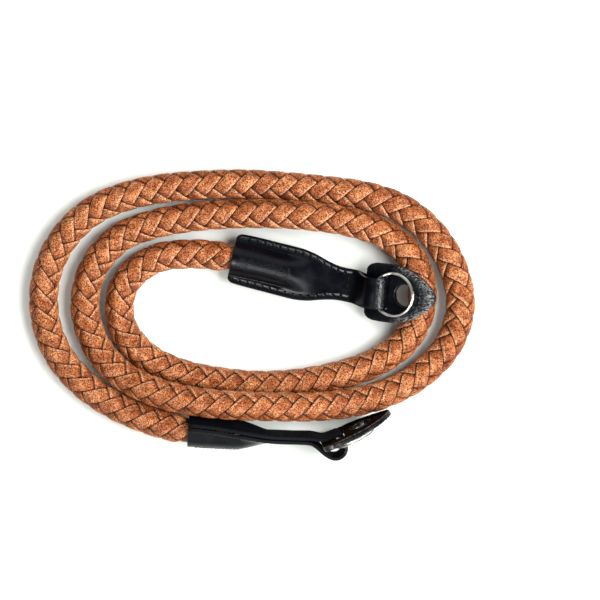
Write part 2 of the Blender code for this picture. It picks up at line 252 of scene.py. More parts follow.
def dress(piece: Piece, body: Body, slot: Slot, materials: Sequence[Material], *nodes: str) -> None:
    """Give a piece its materials and its body, and hide the CAD nodes that it replaces.

    Args:
        piece: The piece.
        body: The body that it rides on.
        slot: Its material slot; not used.
        materials: Its materials.
        *nodes: The CAD nodes that it replaces.
    """
    for material in materials:
        piece.data.materials.append(material)
    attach(piece, body.value)
    if nodes:
        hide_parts(*nodes)
    LOG.info("%s: %d faces, on %s", piece.name, len(piece.data.polygons), body.value)


class Nodes:
    """A node tree and short ways to add to it."""

    def __init__(self, tree: bpy.types.NodeTree) -> None:
        """Take the tree."""
        self.tree = tree

    def link(self, source: Socket, target: Socket) -> None:
        """Join an output to an input."""
        self.tree.links.new(source, target)

    def add(self, kind: str, inputs: dict[str | int, object], **settings: object) -> bpy.types.Node:
        """Add a node.

        Args:
            kind: Its type, after the word that all shader nodes start with.
            inputs: What goes into its inputs: an output to join, or a value.
            **settings: Its own settings.

        Returns:
            The node.
        """
        node = self.tree.nodes.new(f"ShaderNode{kind}")
        for name, value in settings.items():
            setattr(node, name, value)
        for name, value in inputs.items():
            if isinstance(value, Socket):
                self.link(value, node.inputs[name])
            else:
                node.inputs[name].default_value = value
        return node

    def span(
        self, source: Socket, low: float, high: float, first: float = 0.0, last: float = 1.0,
        easing: str = "LINEAR",
    ) -> Socket:
        """Return a number moved from the span low to high to the span first to last, and held there."""
        inputs = {"Value": source, "From Min": low, "From Max": high, "To Min": first, "To Max": last}
        return self.add("MapRange", inputs, interpolation_type=easing).outputs["Result"]

    def maths(self, operation: str, first: Socket, second: Socket | float) -> Socket:
        """Return what an operation makes of two numbers."""
        return self.add("Math", {0: first, 1: second}, operation=operation).outputs["Value"]

    def times(self, first: Socket, *factors: Socket | float) -> Socket:
        """Return a number multiplied by others."""
        return reduce(partial(self.maths, "MULTIPLY"), factors, first)


class Finish(Nodes):
    """A Principled material and short ways to pattern it."""

    def __init__(self, name: str, roughness: float, specular: float = 0.5) -> None:
        """Start the material.

        Args:
            name: The material's name.
            roughness: Its roughness where no node sets it.
            specular: How strongly it mirrors.
        """
        self.material = bpy.data.materials.new(name)
        self.material.use_nodes = True
        super().__init__(self.material.node_tree)
        self.inputs = self.tree.nodes["Principled BSDF"].inputs
        self.inputs["Roughness"].default_value = roughness
        self.inputs["Specular IOR Level"].default_value = specular
        self.places = self.add("TexCoord", {}).outputs["Object"]

    def stretched(self, factors: Triple, turn: float) -> Socket:
        """Return the object's coordinates, turned about z and scaled."""
        inputs = {"Vector": self.places, "Rotation": (0.0, 0.0, math.radians(turn)), "Scale": factors}
        return self.add("Mapping", inputs).outputs["Vector"]

    def noise(self, scale: float, detail: float, rough: float = 0.5, places: Socket | None = None) -> Socket:
        """Return a noise about 0.5, with its waves for each metre, its finer layers and their strength."""
        inputs = {"Vector": places or self.places, "Scale": scale, "Detail": detail, "Roughness": rough}
        return self.add("TexNoise", inputs).outputs["Fac"]

    def attribute(self, name: str) -> Socket:
        """Return a number that the mesh carries."""
        return self.add("Attribute", {}, attribute_name=name).outputs["Fac"]

    def ramp(self, source: Socket, *stops: tuple[float, Triple]) -> Socket:
        """Return a colour read from a row of stops.

        Args:
            source: Where on the row to read.
            *stops: The place and the colour of each stop.

        Returns:
            The colour.
        """
        ramp = self.add("ValToRGB", {"Fac": source})
        elements = ramp.color_ramp.elements
        while len(elements) < len(stops):
            elements.new(0.5)
        for element, (place, colour) in zip(elements, stops):
            element.position = place
            element.color = (*colour, 1.0)
        return ramp.outputs["Color"]

    def mixed(
        self, share: Socket | float, first: Socket, second: Socket | Triple, blend: str = "MIX"
    ) -> Socket:
        """Return two colours mixed.

        Args:
            share: How much of the second.
            first: The first colour.
            second: The second colour, or a plain one.
            blend: How they mix.

        Returns:
            The colour.
        """
        if not isinstance(second, Socket):
            second = (*second, 1.0)
        inputs = {"Factor": share, "A": first, "B": second}
        return self.add("Mix", inputs, data_type="RGBA", blend_type=blend).outputs["Result"]

    def surface(self, colour: Socket, rough: Socket | None, *heights: Relief) -> Material:
        """Give the surface its colour, roughness and relief.

        Args:
            colour: Its colour.
            rough: Its roughness, where that changes over it.
            *heights: Its relief.

        Returns:
            The material.
        """
        self.link(colour, self.inputs["Base Color"])
        if rough is not None:
            self.link(rough, self.inputs["Roughness"])
        before = {}
        for height, full in heights:
            bump = self.add("Bump", {"Height": height, "Distance": full * MM, **before})
            before = {"Normal": bump.outputs["Normal"]}
        self.link(before["Normal"], self.inputs["Normal"])
        return self.material


@dataclass(frozen=True)
class BraidLeather:
    """Tan leather strips, speckled, with a painted highlight on each stretch's crown and painted shade at its
    tucked ends and in the creases; one cut edge is paler, partly its own colour and partly a painted
    highlight.
    """

    deep: Triple = (0.080, 0.0145, 0.0028)
    middle: Triple = (0.228, 0.0660, 0.0200)
    pale: Triple = (0.425, 0.180, 0.077)
    # The cut edge's paler colour, on one side of each strip: partly the edge's own colour and partly a
    # painted highlight.
    cut: Triple = (0.52, 0.26, 0.14)
    # Painted shade in the creases, where the strips dip under each other.
    crease_shade: Triple = (0.016, 0.0030, 0.0006)
    # What the speckle multiplies the colour by, from its pits to its tops.
    pit: Triple = (0.22, 0.14, 0.12)
    level: Triple = (0.92, 0.90, 0.88)
    top: Triple = (1.75, 1.72, 1.60)
    speckle_height: float = 0.13
    wave_height: float = 0.12

    def build(self) -> Material:
        """Make the material.

        Returns:
            The material.
        """
        finish = Finish("tan_braid_leather", 0.55, 0.14)
        blotches = finish.noise(300.0, 4.0, 0.60)
        speckle = finish.noise(2200.0, 2.0, 0.65)
        toned = finish.maths("ADD", blotches, finish.span(finish.attribute("tone"), 0.0, 1.0, -0.05, 0.05))
        # Painted light: each stretch's crown is lifted as a painted highlight, and its ends, where it tucks
        # under, are lowered as painted shade.
        toned = finish.maths("ADD", toned, finish.span(finish.attribute("ends"), 0.25, 1.0, 0.08, -0.17))
        colour = finish.ramp(toned, (0.20, self.deep), (0.50, self.middle), (0.80, self.pale))
        specks = finish.ramp(speckle, (0.42, self.pit), (0.50, self.level), (0.59, self.top))
        # The pale cut edge on one side of each strip, partly the edge's own colour and partly a painted
        # highlight.
        pale_edge_and_highlight = finish.span(finish.attribute("edge"), 0.0, 1.0, 0.0, 0.85)
        colour = finish.mixed(0.95, finish.mixed(pale_edge_and_highlight, colour, self.cut), specks, "MULTIPLY")
        # Painted shade where the strips dip under and down their edges.
        crease_shade_share = finish.span(finish.attribute("depth"), 0.28, 0.56, 0.0, 0.97)
        return finish.surface(
            finish.mixed(crease_shade_share, colour, self.crease_shade), finish.span(blotches, 0.3, 0.7, 0.48, 0.64),
            (speckle, self.speckle_height), (finish.noise(700.0, 3.0), self.wave_height),
        )


@dataclass(frozen=True)
class Seam:
    """Where an end's tab is sewn, in millimetres past its mouth and in from its edges."""

    pitch: float = 2.85
    from_edge: float = 1.65
    starts: float = 3.2
    stops: float = 43.4
    tack_starts: float = 3.4
    tack_stops: float = 20.5
    groove: float = 0.14
    hole: float = 0.24
    pucker: float = 0.24


SEAM = Seam()


@dataclass(frozen=True)
class BlackLeather:
    """Glossy black leather with a fine grain, creases where it is worked, and seams where it is sewn."""

    name: str
    smooth: float
    dull: float
    specular: float = 0.125
    sewn: bool = False
    shade: Triple = (0.0010, 0.0012, 0.0022)
    worn: Triple = (0.0028, 0.0035, 0.0055)
    # The silvery colour of the painted highlight on the guard's rim and the loop's ridge.
    rubbed: Triple = (0.260, 0.265, 0.265)
    # Painted shade in the stitch holes.
    hole: Triple = (0.0, 0.0, 0.0)
    grain: float = 0.018
    creases: float = 0.05
    crinkles: float = 0.30
    hole_shade: float = 0.9
    cut_dullness: float = 0.75
    back_dullness: float = 0.85

    def build(self) -> Material:
        """Make the material, with a silvery painted highlight where the mesh carries one.

        Returns:
            The material.
        """
        finish = Finish(self.name, self.smooth, self.specular)
        patches = finish.noise(180.0, 4.0, 0.6)
        fibres = finish.noise(300.0, 5.0, 0.70, finish.stretched((4.5, 1.0, 1.0), 10.0))
        colour = finish.ramp(patches, (0.35, self.shade), (0.70, self.worn))
        wrinkles = finish.noise(1000.0, 4.0, 0.7, finish.stretched((1.0, 2.2, 1.0), 35.0))
        # A silvery painted highlight, broken up by the wrinkles, where the mesh carries it.
        rubbed = finish.attribute("rubbed")
        colour = finish.mixed(finish.times(finish.span(wrinkles, 0.45, 0.66), rubbed), colour, self.rubbed)
        rough = finish.span(patches, 0.3, 0.7, self.smooth, self.dull)
        cells = finish.add("TexVoronoi", {"Vector": finish.places, "Scale": 2600.0}).outputs["Distance"]
        relief = [(cells, self.grain), (fibres, self.creases)]
        if self.sewn:
            colour, rough, seams = self.sew(finish, colour, rough)
            relief += seams
        crinkled = finish.times(finish.noise(700.0, 3.0, 0.6), rubbed)
        return finish.surface(colour, rough, *relief, (crinkled, self.crinkles))

    def sew(self, finish: Finish, colour: Socket, rough: Socket) -> tuple[Socket, Socket, list[Relief]]:
        """Dull the leather behind and at its cut edges, and pull it in along its stitches.

        Args:
            finish: The material so far.
            colour: The leather's colour.
            rough: Its roughness.

        Returns:
            The colour, the roughness and the seams' relief.
        """
        along, inset = finish.attribute("along"), finish.attribute("inset")
        from_row = finish.maths("ABSOLUTE", finish.maths("SUBTRACT", inset, SEAM.from_edge), 0.0)
        row = finish.times(
            finish.span(from_row, 0.15, 0.75, 1.0, 0.0), finish.span(along, 1.0, 2.0),
            finish.span(along, SEAM.stops + 0.5, SEAM.stops + 1.5, 1.0, 0.0),
        )
        phase = finish.maths("DIVIDE", finish.maths("SUBTRACT", along, SEAM.starts), SEAM.pitch)
        hole = finish.times(row, finish.span(finish.maths("PINGPONG", phase, 0.5), 0.30, 0.47))
        # The tack row along the tab's middle has dull pits in it and puckers beside it.
        off_middle = finish.maths("ABSOLUTE", finish.attribute("left"), 0.0)
        tacked = finish.times(
            finish.span(along, 2.0, 3.0), finish.span(along, SEAM.tack_stops, SEAM.tack_stops + 1.5, 1.0, 0.0)
        )
        wrinkles = finish.noise(1100.0, 3.0, 0.7)
        puckers = finish.times(tacked, finish.span(off_middle, 1.5, 4.8, 1.0, 0.0), wrinkles)
        within = finish.times(tacked, finish.span(off_middle, 0.6, 1.1, 1.0, 0.0))
        pits = finish.times(within, finish.span(wrinkles, 0.42, 0.50))
        cut = finish.span(inset, 0.15, 0.55, self.cut_dullness, 0.0)
        back = finish.span(finish.attribute("back"), 0.2, 0.6, 0.0, self.back_dullness)
        for dull in (cut, back, pits):
            rough = finish.maths("MAXIMUM", rough, dull)
        # Painted shade in the stitch holes.
        colour = finish.mixed(finish.span(hole, 0.0, 1.0, 0.0, self.hole_shade), colour, self.hole)
        groove, dent = (finish.span(depth, 0.0, 1.0, 1.0, 0.0) for depth in (row, hole))
        return colour, rough, [(groove, SEAM.groove), (dent, SEAM.hole), (puckers, SEAM.pucker)]


@dataclass(frozen=True)
class FleshSide:
    """The black, dull inside of the loops' leather."""

    shade: Triple = (0.0012, 0.0012, 0.0016)
    light: Triple = (0.0050, 0.0050, 0.0058)
    nap_height: float = 0.12

    def build(self) -> Material:
        """Make the material.

        Returns:
            The material.
        """
        finish = Finish("black_flesh_side", 0.9, 0.05)
        nap = finish.noise(1200.0, 4.0, 0.7)
        colour = finish.ramp(nap, (0.38, self.shade), (0.66, self.light))
        return finish.surface(colour, None, (nap, self.nap_height))


@dataclass(frozen=True)
class Suede:
    """The brown flesh side of the guards' leather, with a fuzzy nap."""

    dark: Triple = (0.0018, 0.0010, 0.0009)
    brown: Triple = (0.0120, 0.0062, 0.0040)
    fuzz: Triple = (0.085, 0.048, 0.028)
    # Paler where the suede rounds into the cut edge: partly the raw edge's own colour and partly a painted
    # rim highlight.
    cut: Triple = (0.20, 0.15, 0.12)
    nap_height: float = 0.35
    fibre_height: float = 0.30

    def build(self) -> Material:
        """Make the material.

        Returns:
            The material.
        """
        finish = Finish("brown_suede", 0.95, 0.0)
        nap = finish.noise(900.0, 6.0, 0.75)
        fibres = finish.noise(1500.0, 5.0, 0.7, finish.stretched((1.0, 4.0, 1.0), 35.0))
        both = finish.times(finish.maths("ADD", nap, fibres), 0.5)
        colour = finish.ramp(both, (0.38, self.dark), (0.53, self.brown), (0.66, self.fuzz))
        # The pale rim, partly the raw edge's colour and partly a painted rim highlight.
        pale_edge_and_highlight = finish.span(finish.attribute("edge"), 0.1, 0.9, 0.0, 0.8)
        colour = finish.mixed(pale_edge_and_highlight, colour, self.cut)
        return finish.surface(colour, None, (nap, self.nap_height), (fibres, self.fibre_height))


@dataclass(frozen=True)
class Thread:
    """Waxed black thread."""

    shade: Triple = (0.0025, 0.0026, 0.0034)
    light: Triple = (0.0070, 0.0075, 0.0090)
    twist_height: float = 0.15

    def build(self) -> Material:
        """Make the material.

        Returns:
            The material.
        """
        finish = Finish("black_thread", 0.50, 0.11)
        twist = finish.noise(1800.0, 3.0, 0.6, finish.stretched((1.0, 1.0, 3.0), 40.0))
        colour = finish.ramp(twist, (0.35, self.shade), (0.75, self.light))
        return finish.surface(colour, None, (twist, self.twist_height))


@dataclass(frozen=True)
class PolishedSteel:
    """Bright nickelled steel wire."""

    shade: Triple = (0.46, 0.46, 0.42)
    bright: Triple = (0.62, 0.62, 0.57)
    drawn_height: float = 0.015

    def build(self) -> Material:
        """Make the material.

        Returns:
            The material.
        """
        finish = Finish("polished_steel", 0.2)
        finish.inputs["Metallic"].default_value = 1.0
        drawn = finish.noise(1200.0, 3.0, 0.6)
        colour = finish.ramp(drawn, (0.3, self.shade), (0.8, self.bright))
        return finish.surface(colour, finish.span(drawn, 0.3, 0.7, 0.26, 0.38), (drawn, self.drawn_height))


@dataclass
class Studio:
    """The floor, the lights and the camera straight above."""

    photo_size: float = 600.0
    mm_per_pixel: float = 0.365
    middle_pixel: tuple[float, float] = (252.0, 314.96)
    camera_height: float = 1500.0
    sharp_height: float = 6.0
    sensor_width: float = 36.0
    floor_size: float = 4.0
    floor_tint: Triple = (0.80, 0.83, 0.79)
    daylight: float = 1.6
    dim_daylight: float = 0.03
    # The sky is dim in a long band overhead, along x, between softboxes in front and behind.
    band_across: Triple = (0.20, 1.0, 0.0)
    dim_ends: float = 0.24
    full_starts: float = 0.62
    low_daylight: float = 0.35
    low_ends: float = 0.40

    def build(self) -> None:
        """Make the floor, the lights and the camera."""
        self.add_camera()
        self.add_floor()
        self.add_lights()

    def add_camera(self) -> None:
        """Place the camera over the middle of the photograph's frame."""
        data = bpy.data.cameras.new("camera")
        data.sensor_width = self.sensor_width
        width = self.photo_size * self.mm_per_pixel
        data.lens = data.sensor_width * (self.camera_height - self.sharp_height) / width
        camera = linked("camera", data)
        half = self.photo_size / 2
        camera.location = Vector((
            (half - self.middle_pixel[0]) * self.mm_per_pixel,
            (self.middle_pixel[1] - half) * self.mm_per_pixel,
            self.camera_height,
        )) * MM
        bpy.context.scene.camera = camera

    def add_floor(self) -> None:
        """Make the plain pale floor."""
        bpy.ops.object.select_all(action="DESELECT")
        bpy.ops.mesh.primitive_plane_add(size=self.floor_size)
        floor = bpy.context.object
        floor.name = "floor"
        finish = Finish("white_floor", 0.9)
        finish.inputs["Base Color"].default_value = (*self.floor_tint, 1.0)
        floor.data.materials.append(finish.material)

    def add_lights(self) -> None:
        """Light the strap softly from above, most from the right, with gloss from the front and the right."""
        scene = bpy.context.scene
        scene.view_settings.view_transform = "Standard"
        scene.world = bpy.data.worlds.new("studio")
        scene.world.use_nodes = True
        self.shade_sky(Nodes(scene.world.node_tree))
        for name, place, size, power, diffuse, glossy in (
            ("top_light", (1.27, -0.05, 1.66), 1.4, 84.0, True, False),
            ("key_light", (0.50, -0.70, 0.72), 0.35, 4.0, True, True),
            ("front_gloss", (-0.14, -0.62, 0.92), 0.26, 12.0, False, True),
            ("right_gloss", (0.85, -0.29, 0.46), 0.20, 9.0, False, True),
        ):
            data = bpy.data.lights.new(name, "AREA")
            data.size = size
            data.energy = power
            light = linked(name, data)
            light.location = place
            light.visible_diffuse = diffuse
            light.visible_glossy = glossy
            light.rotation_euler = (-Vector(place)).to_track_quat("-Z", "Y").to_euler()

    def shade_sky(self, sky: Nodes) -> None:
        """Make the daylight bright in front and behind, weaker near the horizon and dim overhead.

        Args:
            sky: The world's nodes.
        """
        ahead = sky.add("TexCoord", {}).outputs["Generated"]
        height = sky.add("SeparateXYZ", {"Vector": ahead}).outputs["Z"]
        scaled = sky.add("VectorMath", {0: ahead, 1: self.band_across}, operation="MULTIPLY")
        off_band = sky.add("VectorMath", {0: scaled.outputs["Vector"]}, operation="LENGTH").outputs["Value"]
        band = (self.dim_ends, self.full_starts, self.dim_daylight, self.daylight)
        strength = sky.times(
            sky.span(off_band, *band, "SMOOTHSTEP"),
            sky.span(height, 0.0, self.low_ends, self.low_daylight, 1.0, "SMOOTHSTEP"),
        )
        background = sky.tree.nodes["Background"]
        background.inputs["Color"].default_value = (1.0, 1.0, 1.0, 1.0)
        sky.link(strength, background.inputs["Strength"])


@dataclass(frozen=True)
class StrapEnd:
    """How one end of the strap lies: its sections' places, and their heading, pitch and roll."""

    name: str
    ring_body: Body
    mouth: tuple[Triple, Triple]
    neck: tuple[Triple, Triple]
    guard: tuple[Triple, Triple]
    tab_length: float = 44.8
    # Half the tab's width along it.
    half_widths: tuple[tuple[float, float], ...] = (
        (0.0, 7.6), (0.54, 8.55), (1.57, 9.12), (3.58, 9.4), (13.44, 9.4), (25.1, 9.5), (29.6, 8.84),
        (33.6, 7.6), (37.2, 6.53), (40.8, 5.98), (44.8, 6.1),
    )

    def section(self, name: str) -> Matrix:
        """Return a section's frame, in metres.

        Args:
            name: mouth, neck or guard.

        Returns:
            The frame: x ahead, y to the left and z out of the front.
        """
        position, angles = getattr(self, name)
        heading, pitch, roll = (math.radians(angle) for angle in angles)
        flat = math.cos(pitch)
        ahead = Vector((flat * math.cos(heading), flat * math.sin(heading), math.sin(pitch)))
        level = Vector((-math.sin(heading), math.cos(heading), 0.0))
        left = math.cos(roll) * level + math.sin(roll) * ahead.cross(level)
        matrix = Matrix((ahead, left, ahead.cross(left))).transposed().to_4x4()
        matrix.translation = placed(*position)
        return matrix

    def spine(self, depth: float) -> tuple[Vector, Vector]:
        """Return a place on the tab's middle line.

        Args:
            depth: How far past the mouth, in millimetres.

        Returns:
            The place, and the direction to the left there.
        """
        start, stop = self.section("mouth"), self.section("neck")
        t = depth / self.tab_length
        reach = self.tab_length * MM
        tangents = [end.col[0].xyz * reach for end in (start, stop)]
        point = hermite(start.translation, tangents[0], stop.translation, tangents[1], t)
        return point, start.col[1].xyz.lerp(stop.col[1].xyz, eased(t, 0.0, 1.0)).normalized()

    def half_width(self, depth: Number) -> Number:
        """Return half the tab's width at a depth."""
        depths, widths = zip(*self.half_widths)
        return np.interp(depth, depths, widths)

    def front(self, depth: float, step: float = 0.05) -> Vector:
        """Return the direction out of the tab's front at a depth."""
        ahead = self.spine(depth + step)[0] - self.spine(depth - step)[0]
        return ahead.cross(self.spine(depth)[1]).normalized()


END_A = StrapEnd(
    "a", Body.RING_A,
    mouth=((-7.3, 19.2, 6.25), (-12.8, 0.0, 0.0)),
    neck=((36.3, 8.9, 5.0), (-10.0, 2.0, 5.0)),
    guard=((41.7, 7.3, 5.7), (-8.0, 25.0, 9.5)),
)
END_B = StrapEnd(
    "b", Body.RING_B,
    mouth=((-23.2, -43.9, 9.8), (-3.7, 0.0, 81.0)),
    neck=((20.4, -46.4, 10.3), (0.0, 0.0, 101.0)),
    guard=((25.5, -49.1, 11.0), (25.0, 0.0, 101.0)),
)


@dataclass(frozen=True)
class Tube:
    """A closed tube: its points ring by ring, how many each ring has, and the numbers that they carry."""

    vertices: np.ndarray
    around: int
    carried: dict[str, np.ndarray]

    def faces(self, offset: int) -> list[list[int]]:
        """Return the tube's faces.

        Args:
            offset: The number of its first point.

        Returns:
            The points of each face, the two ends' last.
        """
        last = len(self.vertices) - self.around
        start = np.arange(0, last, self.around)[:, None] + offset
        column = np.arange(self.around)[None, :]
        following = (column + 1) % self.around
        after = start + self.around
        quads = np.stack([start + column, start + following, after + following, after + column], axis=2)
        first_end, last_end = (list(range(offset + ring, offset + ring + self.around)) for ring in (0, last))
        return [*quads.reshape(-1, 4).tolist(), first_end[::-1], last_end]


@dataclass
class BraidedCord:
    """A round cord of eight flat strips, each over two and under two."""

    diameter: float = 10.8
    mouth_diameter: float = 8.6
    tip_diameter: float = 7.8
    in_socket: float = 17.0
    socket_step: float = 0.5
    narrows_over: float = 4.0
    lead: float = 27.6
    strips_each_way: int = 4
    strip_width: float = 5.15
    strip_thickness: float = 1.1
    dip: float = 1.45
    # How far from the middle of a visible stretch, in strips crossed, it starts to dip and is fully under.
    crown: float = 0.55
    tuck: float = 1.40
    # How many strips it crosses before the pattern starts again.
    repeat: float = 4.0
    # Where across a strip its pale edge starts; on one side only, it is partly a painted highlight.
    pale_starts: float = 0.62
    # How far down from a strip's face the painted shade on its edge starts, and how fast it deepens.
    shade_starts: float = 0.5
    shade_deepens: float = 1.7
    work_radius: float = 5.2
    turned: float = -104.0
    rings: int = 1440
    core_radius: float = 3.5
    core_sides: int = 8
    core_rings: int = 280
    route_steps: int = 40
    smoothed_over: int = 9
    path_points: int = 400
    seed: int = 8
    spare_tones: int = 16
    # Across a strip: the share of half its width, and how far down from its face.
    section: tuple[tuple[float, float], ...] = (
        (-1.0, 0.80), (-0.88, 0.26), (-0.5, 0.05), (0.0, 0.0), (0.5, 0.05), (0.88, 0.26), (1.0, 0.80),
        (0.0, 1.15),
    )

    def build(self) -> None:
        """Make the cord and dress it."""
        self.lay_out()
        rng = random.Random(self.seed)
        parts = [self.strip(lay, number, rng) for lay in Lay for number in range(self.strips_each_way)]
        piece = self.joined([*parts, self.core()])
        dress(piece, Body.STRAP, Slot.BRAID, [BraidLeather().build()], "braided_cord")

    def lay_out(self) -> None:
        """Work out the centre line, its directions and the length along it."""
        inside = np.arange(self.in_socket, 0.0, -self.socket_step)
        first = [END_A.spine(depth)[0] for depth in inside]
        last = [END_B.spine(depth)[0] for depth in inside[::-1]]
        middle = [placed(*point) for point in (END_A.mouth[0], *CORD_ROUTE, END_B.mouth[0])]
        dense = np.array([*first, *through_points(middle, self.route_steps), *last])
        along = lengths_along(dense)
        even = np.linspace(0.0, along[-1], 4 * self.rings)
        points = sampled(even, along, dense)
        reach = self.smoothed_over
        kernel = np.ones(2 * reach + 1) / (2 * reach + 1)
        padded = np.pad(points, ((reach, reach), (0, 0)), mode="reflect", reflect_type="odd")
        self.points = np.stack([np.convolve(column, kernel, "valid") for column in padded.T], axis=1)
        self.along = lengths_along(self.points)
        ahead = unit(np.gradient(self.points, axis=0))
        self.side = unit(np.cross(ahead, (0.0, 0.0, 1.0)))
        self.up = np.cross(self.side, ahead)

    def size_at(self, along: np.ndarray) -> np.ndarray:
        """Return the cord's size along it.

        Args:
            along: How far along the cord, in metres.

        Returns:
            Its size there, as a share of its full diameter.
        """
        depths = np.array((0.0, self.in_socket, self.in_socket + self.narrows_over)) * MM
        sizes = np.array((self.tip_diameter, self.mouth_diameter, self.diameter)) / self.diameter
        return np.interp(np.minimum(along, self.along[-1] - along), depths, sizes)

    def at(self, along: np.ndarray, turn: np.ndarray, radius: np.ndarray) -> np.ndarray:
        """Return places round the cord.

        Args:
            along: How far along the cord, in metres.
            turn: The angle round it, in radians, before the pattern's own turn.
            radius: How far from the centre line, in metres, where the cord has its full size.

        Returns:
            The places, a row each.
        """
        turn = turn + math.radians(self.turned)
        radius = radius * self.size_at(along)
        tables = (self.points, self.side, self.up)
        middle, side, up = (sampled(along, self.along, table) for table in tables)
        return middle + radius[:, None] * (np.cos(turn)[:, None] * up + np.sin(turn)[:, None] * side)

    def strip(self, lay: Lay, number: int, rng: random.Random) -> Tube:
        """Return one strip of leather.

        Args:
            lay: Which way it winds.
            number: Which of the strips of its lay it is.
            rng: Where the tones of its visible stretches come from.

        Returns:
            The strip, with what its points carry.
        """
        gap = 2 * math.pi / self.strips_each_way
        rate = 2 * math.pi / (self.lead * MM)
        slant = math.atan(rate * self.work_radius * MM)
        half_repeat = self.repeat / 2
        middle_along = np.linspace(0.0, self.along[-1], self.rings)
        middle_turn = lay.value * rate * middle_along + number * gap
        stretches = int(self.along[-1] * rate * 2 / gap / self.repeat) + self.spare_tones
        tones = [rng.random() for _ in range(stretches)]
        places, edge, tone, depth, ends = [], [], [], [], []
        centre_of_over = 0.5 if lay is Lay.CLOCKWISE else 0.5 + half_repeat
        for share, down in self.section:
            across = share * self.strip_width / 2 * MM
            along = np.clip(middle_along - lay.value * across * math.sin(slant), 0.0, self.along[-1])
            turn = middle_turn + across * math.cos(slant) / (self.work_radius * MM)
            phase = number + (turn + lay.value * rate * along) / gap - centre_of_over
            wrapped = np.mod(phase + half_repeat, self.repeat) - half_repeat
            under = eased(np.abs(wrapped), self.crown, self.tuck)
            places.append(self.at(along, turn, (self.diameter / 2 - self.dip * under - down) * MM))
            # The pale edge on one side of each strip, partly a painted highlight.
            edge.append(np.full(along.shape, eased(share * lay.value, self.pale_starts, 1.0)))
            # Painted shade: deeper where the strip dips under and down its edges.
            dark = self.shade_deepens * max(down - self.shade_starts, 0.0) / self.strip_thickness
            depth.append(np.clip(under + dark, 0.0, 1.0))
            ends.append(np.clip(np.abs(wrapped) / self.tuck, 0.0, 1.0))
            index = np.floor((phase + half_repeat) / self.repeat).astype(int)
            tone.append(np.array(tones)[index % len(tones)])
        carried = {"edge": edge, "tone": tone, "depth": depth, "ends": ends}
        return Tube(
            np.stack(places, axis=1).reshape(-1, 3), len(self.section),
            {name: np.stack(columns, axis=1).reshape(-1) for name, columns in carried.items()},
        )

    def core(self) -> Tube:
        """Make the core that the strips are plaited round.

        Returns:
            The core, with what its points carry.
        """
        along = np.repeat(np.linspace(0.0, self.along[-1], self.core_rings), self.core_sides)
        turn = np.tile(np.linspace(0.0, 2 * math.pi, self.core_sides, endpoint=False), self.core_rings)
        vertices = self.at(along, turn, np.full(along.shape, self.core_radius * MM))
        # The core carries full painted shade, like the deepest creases.
        carried = {"edge": 0.0, "tone": 0.5, "depth": 1.0, "ends": 1.0}
        carried = {name: np.full(len(vertices), value) for name, value in carried.items()}
        return Tube(vertices, self.core_sides, carried)

    def joined(self, parts: Sequence[Tube]) -> Piece:
        """Join the strips and the core.

        Args:
            parts: The strips and the core.

        Returns:
            One piece, with what its points carry.
        """
        offset, faces = 0, []
        for part in parts:
            faces += part.faces(offset)
            offset += len(part.vertices)
        mesh = bpy.data.meshes.new("braided_leather_cord")
        mesh.from_pydata(np.concatenate([part.vertices for part in parts]).tolist(), [], faces)
        mesh.update()
        piece = linked(mesh.name, mesh)
        for name in parts[0].carried:
            carry(piece, **{name: np.concatenate([part.carried[name] for part in parts])})
        with editing(piece):
            bpy.ops.mesh.normals_make_consistent(inside=False)
        bpy.ops.object.shade_smooth_by_angle(angle=SHARP)
        return piece


